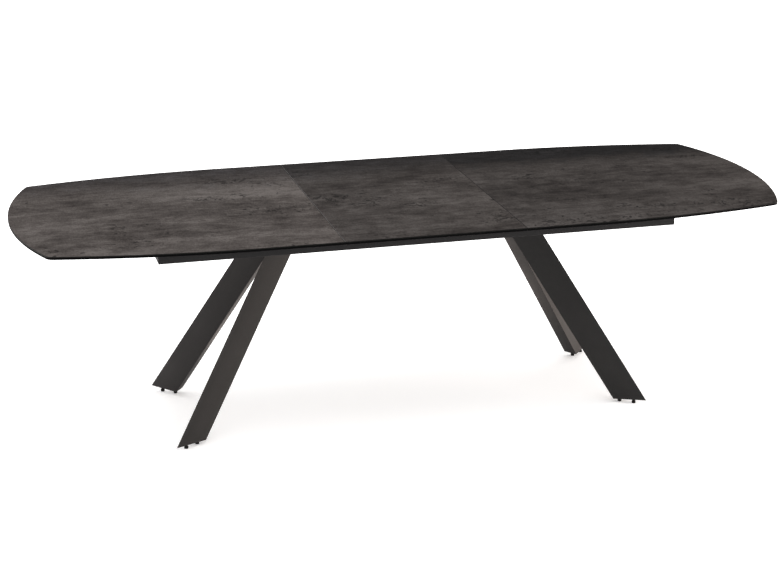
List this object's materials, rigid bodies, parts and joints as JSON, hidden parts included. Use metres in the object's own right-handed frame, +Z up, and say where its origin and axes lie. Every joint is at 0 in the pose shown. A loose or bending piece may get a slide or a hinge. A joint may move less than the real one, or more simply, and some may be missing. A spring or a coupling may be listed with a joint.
{
  "type": "extendable dining table",
  "caption": "Barrel-shaped extendable dining table: ceramic end tops slide apart on a steel frame with splayed three-cornered legs, and a one-piece leaf rises flush between them.",
  "frame": {"origin": "on the floor, under the middle of the table", "axes": "+X along the table's length, +Y towards its back long edge, +Z up"},
  "size_m": [2.6, 1, 0.74],
  "materials": {
    "ceramic": "matt sintered stone, dark oxidised concrete look",
    "glass": "black painted tempered glass",
    "frame_paint": "fine matt powder coat, anthracite",
    "leg_paint": "satin powder coat, dark bronze grey",
    "aluminium": "extruded and anodised",
    "zinc": "zinc plated",
    "foot_plastic": "moulded black nylon"
  },
  "bodies": {
    "frame": {"frame_rail_back": "frame_paint", "frame_rail_front": "frame_paint", "frame_end_right": "frame_paint", "frame_end_left": "frame_paint", "centre_member": "frame_paint", "leg_bridge_left": "frame_paint", "leg_bridge_right": "frame_paint", "leg_plate_left": "leg_paint", "leg_plate_right": "leg_paint", "guide_rail_right_front": "aluminium", "guide_rail_left_front": "aluminium", "guide_rail_right_back": "aluminium", "guide_rail_left_back": "aluminium", "lever_pivot_pin": "zinc", "leg_left_front": "leg_paint", "leg_left_back": "leg_paint", "leg_right_front": "leg_paint", "leg_right_back": "leg_paint"},
    "lever": {"sync_lever": "zinc", "lever_rod_pin_right": "zinc", "lever_rod_pin_left": "zinc"},
    "rod_right": {"sync_rod_right": "zinc", "rod_tongue_pin_right": "zinc"},
    "rod_left": {"sync_rod_left": "zinc", "rod_tongue_pin_left": "zinc"},
    "end_top_right": {"end_top_right_ceramic": "ceramic", "end_top_right_glass": "glass", "runner_right_back": "aluminium", "runner_right_front": "aluminium", "crossbar_right_inner": "frame_paint", "crossbar_right_middle": "frame_paint", "crossbar_right_outer": "frame_paint", "sync_tongue_right": "zinc"},
    "end_top_left": {"end_top_left_ceramic": "ceramic", "end_top_left_glass": "glass", "runner_left_back": "aluminium", "runner_left_front": "aluminium", "crossbar_left_inner": "frame_paint", "crossbar_left_middle": "frame_paint", "crossbar_left_outer": "frame_paint", "sync_tongue_left": "zinc"},
    "arm_back_left": {"lift_arm_back_left": "zinc"},
    "arm_front_left": {"lift_arm_front_left": "zinc"},
    "arm_back_right": {"lift_arm_back_right": "zinc"},
    "arm_front_right": {"lift_arm_front_right": "zinc"},
    "leaf": {"leaf_ceramic": "ceramic", "leaf_glass": "glass", "leaf_batten_left": "frame_paint", "leaf_batten_right": "frame_paint"},
    "foot_left_front_outer": {"foot_left_front_outer": "foot_plastic"},
    "foot_left_front_inner": {"foot_left_front_inner": "foot_plastic"},
    "foot_left_back_outer": {"foot_left_back_outer": "foot_plastic"},
    "foot_left_back_inner": {"foot_left_back_inner": "foot_plastic"},
    "foot_right_front_outer": {"foot_right_front_outer": "foot_plastic"},
    "foot_right_front_inner": {"foot_right_front_inner": "foot_plastic"},
    "foot_right_back_outer": {"foot_right_back_outer": "foot_plastic"},
    "foot_right_back_inner": {"foot_right_back_inner": "foot_plastic"}
  },
  "joints": [
    {"name": "extension", "type": "hinge", "parent": "frame", "child": "lever", "pos_m": [0, 0, 0.677], "axis": [0, 0, 1], "range_deg": [0, 92]},
    {"name": "rod_right_turn", "type": "hinge", "parent": "lever", "child": "rod_right", "pos_m": [0.21715, -0.07477, 0.68], "axis": [0, 0, 1], "range_deg": [-184, 0]},
    {"name": "rod_left_turn", "type": "hinge", "parent": "lever", "child": "rod_left", "pos_m": [-0.21715, 0.07477, 0.68], "axis": [0, 0, 1], "range_deg": [-184, 0]},
    {"name": "top_right_travel", "type": "hinge", "parent": "rod_right", "child": "end_top_right", "pos_m": [0.4343, 0, 0.685], "axis": [0, 0, 1], "range_deg": [0, 92]},
    {"name": "top_left_travel", "type": "hinge", "parent": "rod_left", "child": "end_top_left", "pos_m": [-0.4343, 0, 0.685], "axis": [0, 0, 1], "range_deg": [0, 92]},
    {"name": "arm_back_left_swing", "type": "hinge", "parent": "frame", "child": "arm_back_left", "pos_m": [-0.16003, 0.324, 0.69], "axis": [0, 1, 0], "range_deg": [0, 28.95]},
    {"name": "arm_front_left_swing", "type": "hinge", "parent": "frame", "child": "arm_front_left", "pos_m": [-0.16003, -0.324, 0.69], "axis": [0, 1, 0], "range_deg": [0, 28.95]},
    {"name": "arm_back_right_swing", "type": "hinge", "parent": "frame", "child": "arm_back_right", "pos_m": [0.03997, 0.324, 0.69], "axis": [0, 1, 0], "range_deg": [0, 28.95]},
    {"name": "arm_front_right_swing", "type": "hinge", "parent": "frame", "child": "arm_front_right", "pos_m": [0.03997, -0.324, 0.69], "axis": [0, 1, 0], "range_deg": [0, 28.95]},
    {"name": "leaf_pivot", "type": "hinge", "parent": "arm_back_left", "child": "leaf", "pos_m": [-0.1, 0.312, 0.7055], "axis": [0, 1, 0], "range_deg": [-28.95, 0]},
    {"name": "foot_left_front_outer_screw", "type": "slide", "parent": "frame", "child": "foot_left_front_outer", "axis": [0, 0, -1], "range_m": [0, 0.006]},
    {"name": "foot_left_front_inner_screw", "type": "slide", "parent": "frame", "child": "foot_left_front_inner", "axis": [0, 0, -1], "range_m": [0, 0.006]},
    {"name": "foot_left_back_outer_screw", "type": "slide", "parent": "frame", "child": "foot_left_back_outer", "axis": [0, 0, -1], "range_m": [0, 0.006]},
    {"name": "foot_left_back_inner_screw", "type": "slide", "parent": "frame", "child": "foot_left_back_inner", "axis": [0, 0, -1], "range_m": [0, 0.006]},
    {"name": "foot_right_front_outer_screw", "type": "slide", "parent": "frame", "child": "foot_right_front_outer", "axis": [0, 0, -1], "range_m": [0, 0.006]},
    {"name": "foot_right_front_inner_screw", "type": "slide", "parent": "frame", "child": "foot_right_front_inner", "axis": [0, 0, -1], "range_m": [0, 0.006]},
    {"name": "foot_right_back_outer_screw", "type": "slide", "parent": "frame", "child": "foot_right_back_outer", "axis": [0, 0, -1], "range_m": [0, 0.006]},
    {"name": "foot_right_back_inner_screw", "type": "slide", "parent": "frame", "child": "foot_right_back_inner", "axis": [0, 0, -1], "range_m": [0, 0.006]}
  ],
  "couplings": [
    {"joint": "rod_right_turn", "follows": "extension", "ratio": -2},
    {"joint": "rod_left_turn", "follows": "extension", "ratio": -2},
    {"joint": "top_right_travel", "follows": "extension", "ratio": 1},
    {"joint": "top_left_travel", "follows": "extension", "ratio": 1},
    {"joint": "arm_back_left_swing", "follows": "extension", "ratio": 0.31473},
    {"joint": "arm_front_left_swing", "follows": "extension", "ratio": 0.31473},
    {"joint": "arm_back_right_swing", "follows": "extension", "ratio": 0.31473},
    {"joint": "arm_front_right_swing", "follows": "extension", "ratio": 0.31473},
    {"joint": "leaf_pivot", "follows": "extension", "ratio": -0.31473}
  ]
}
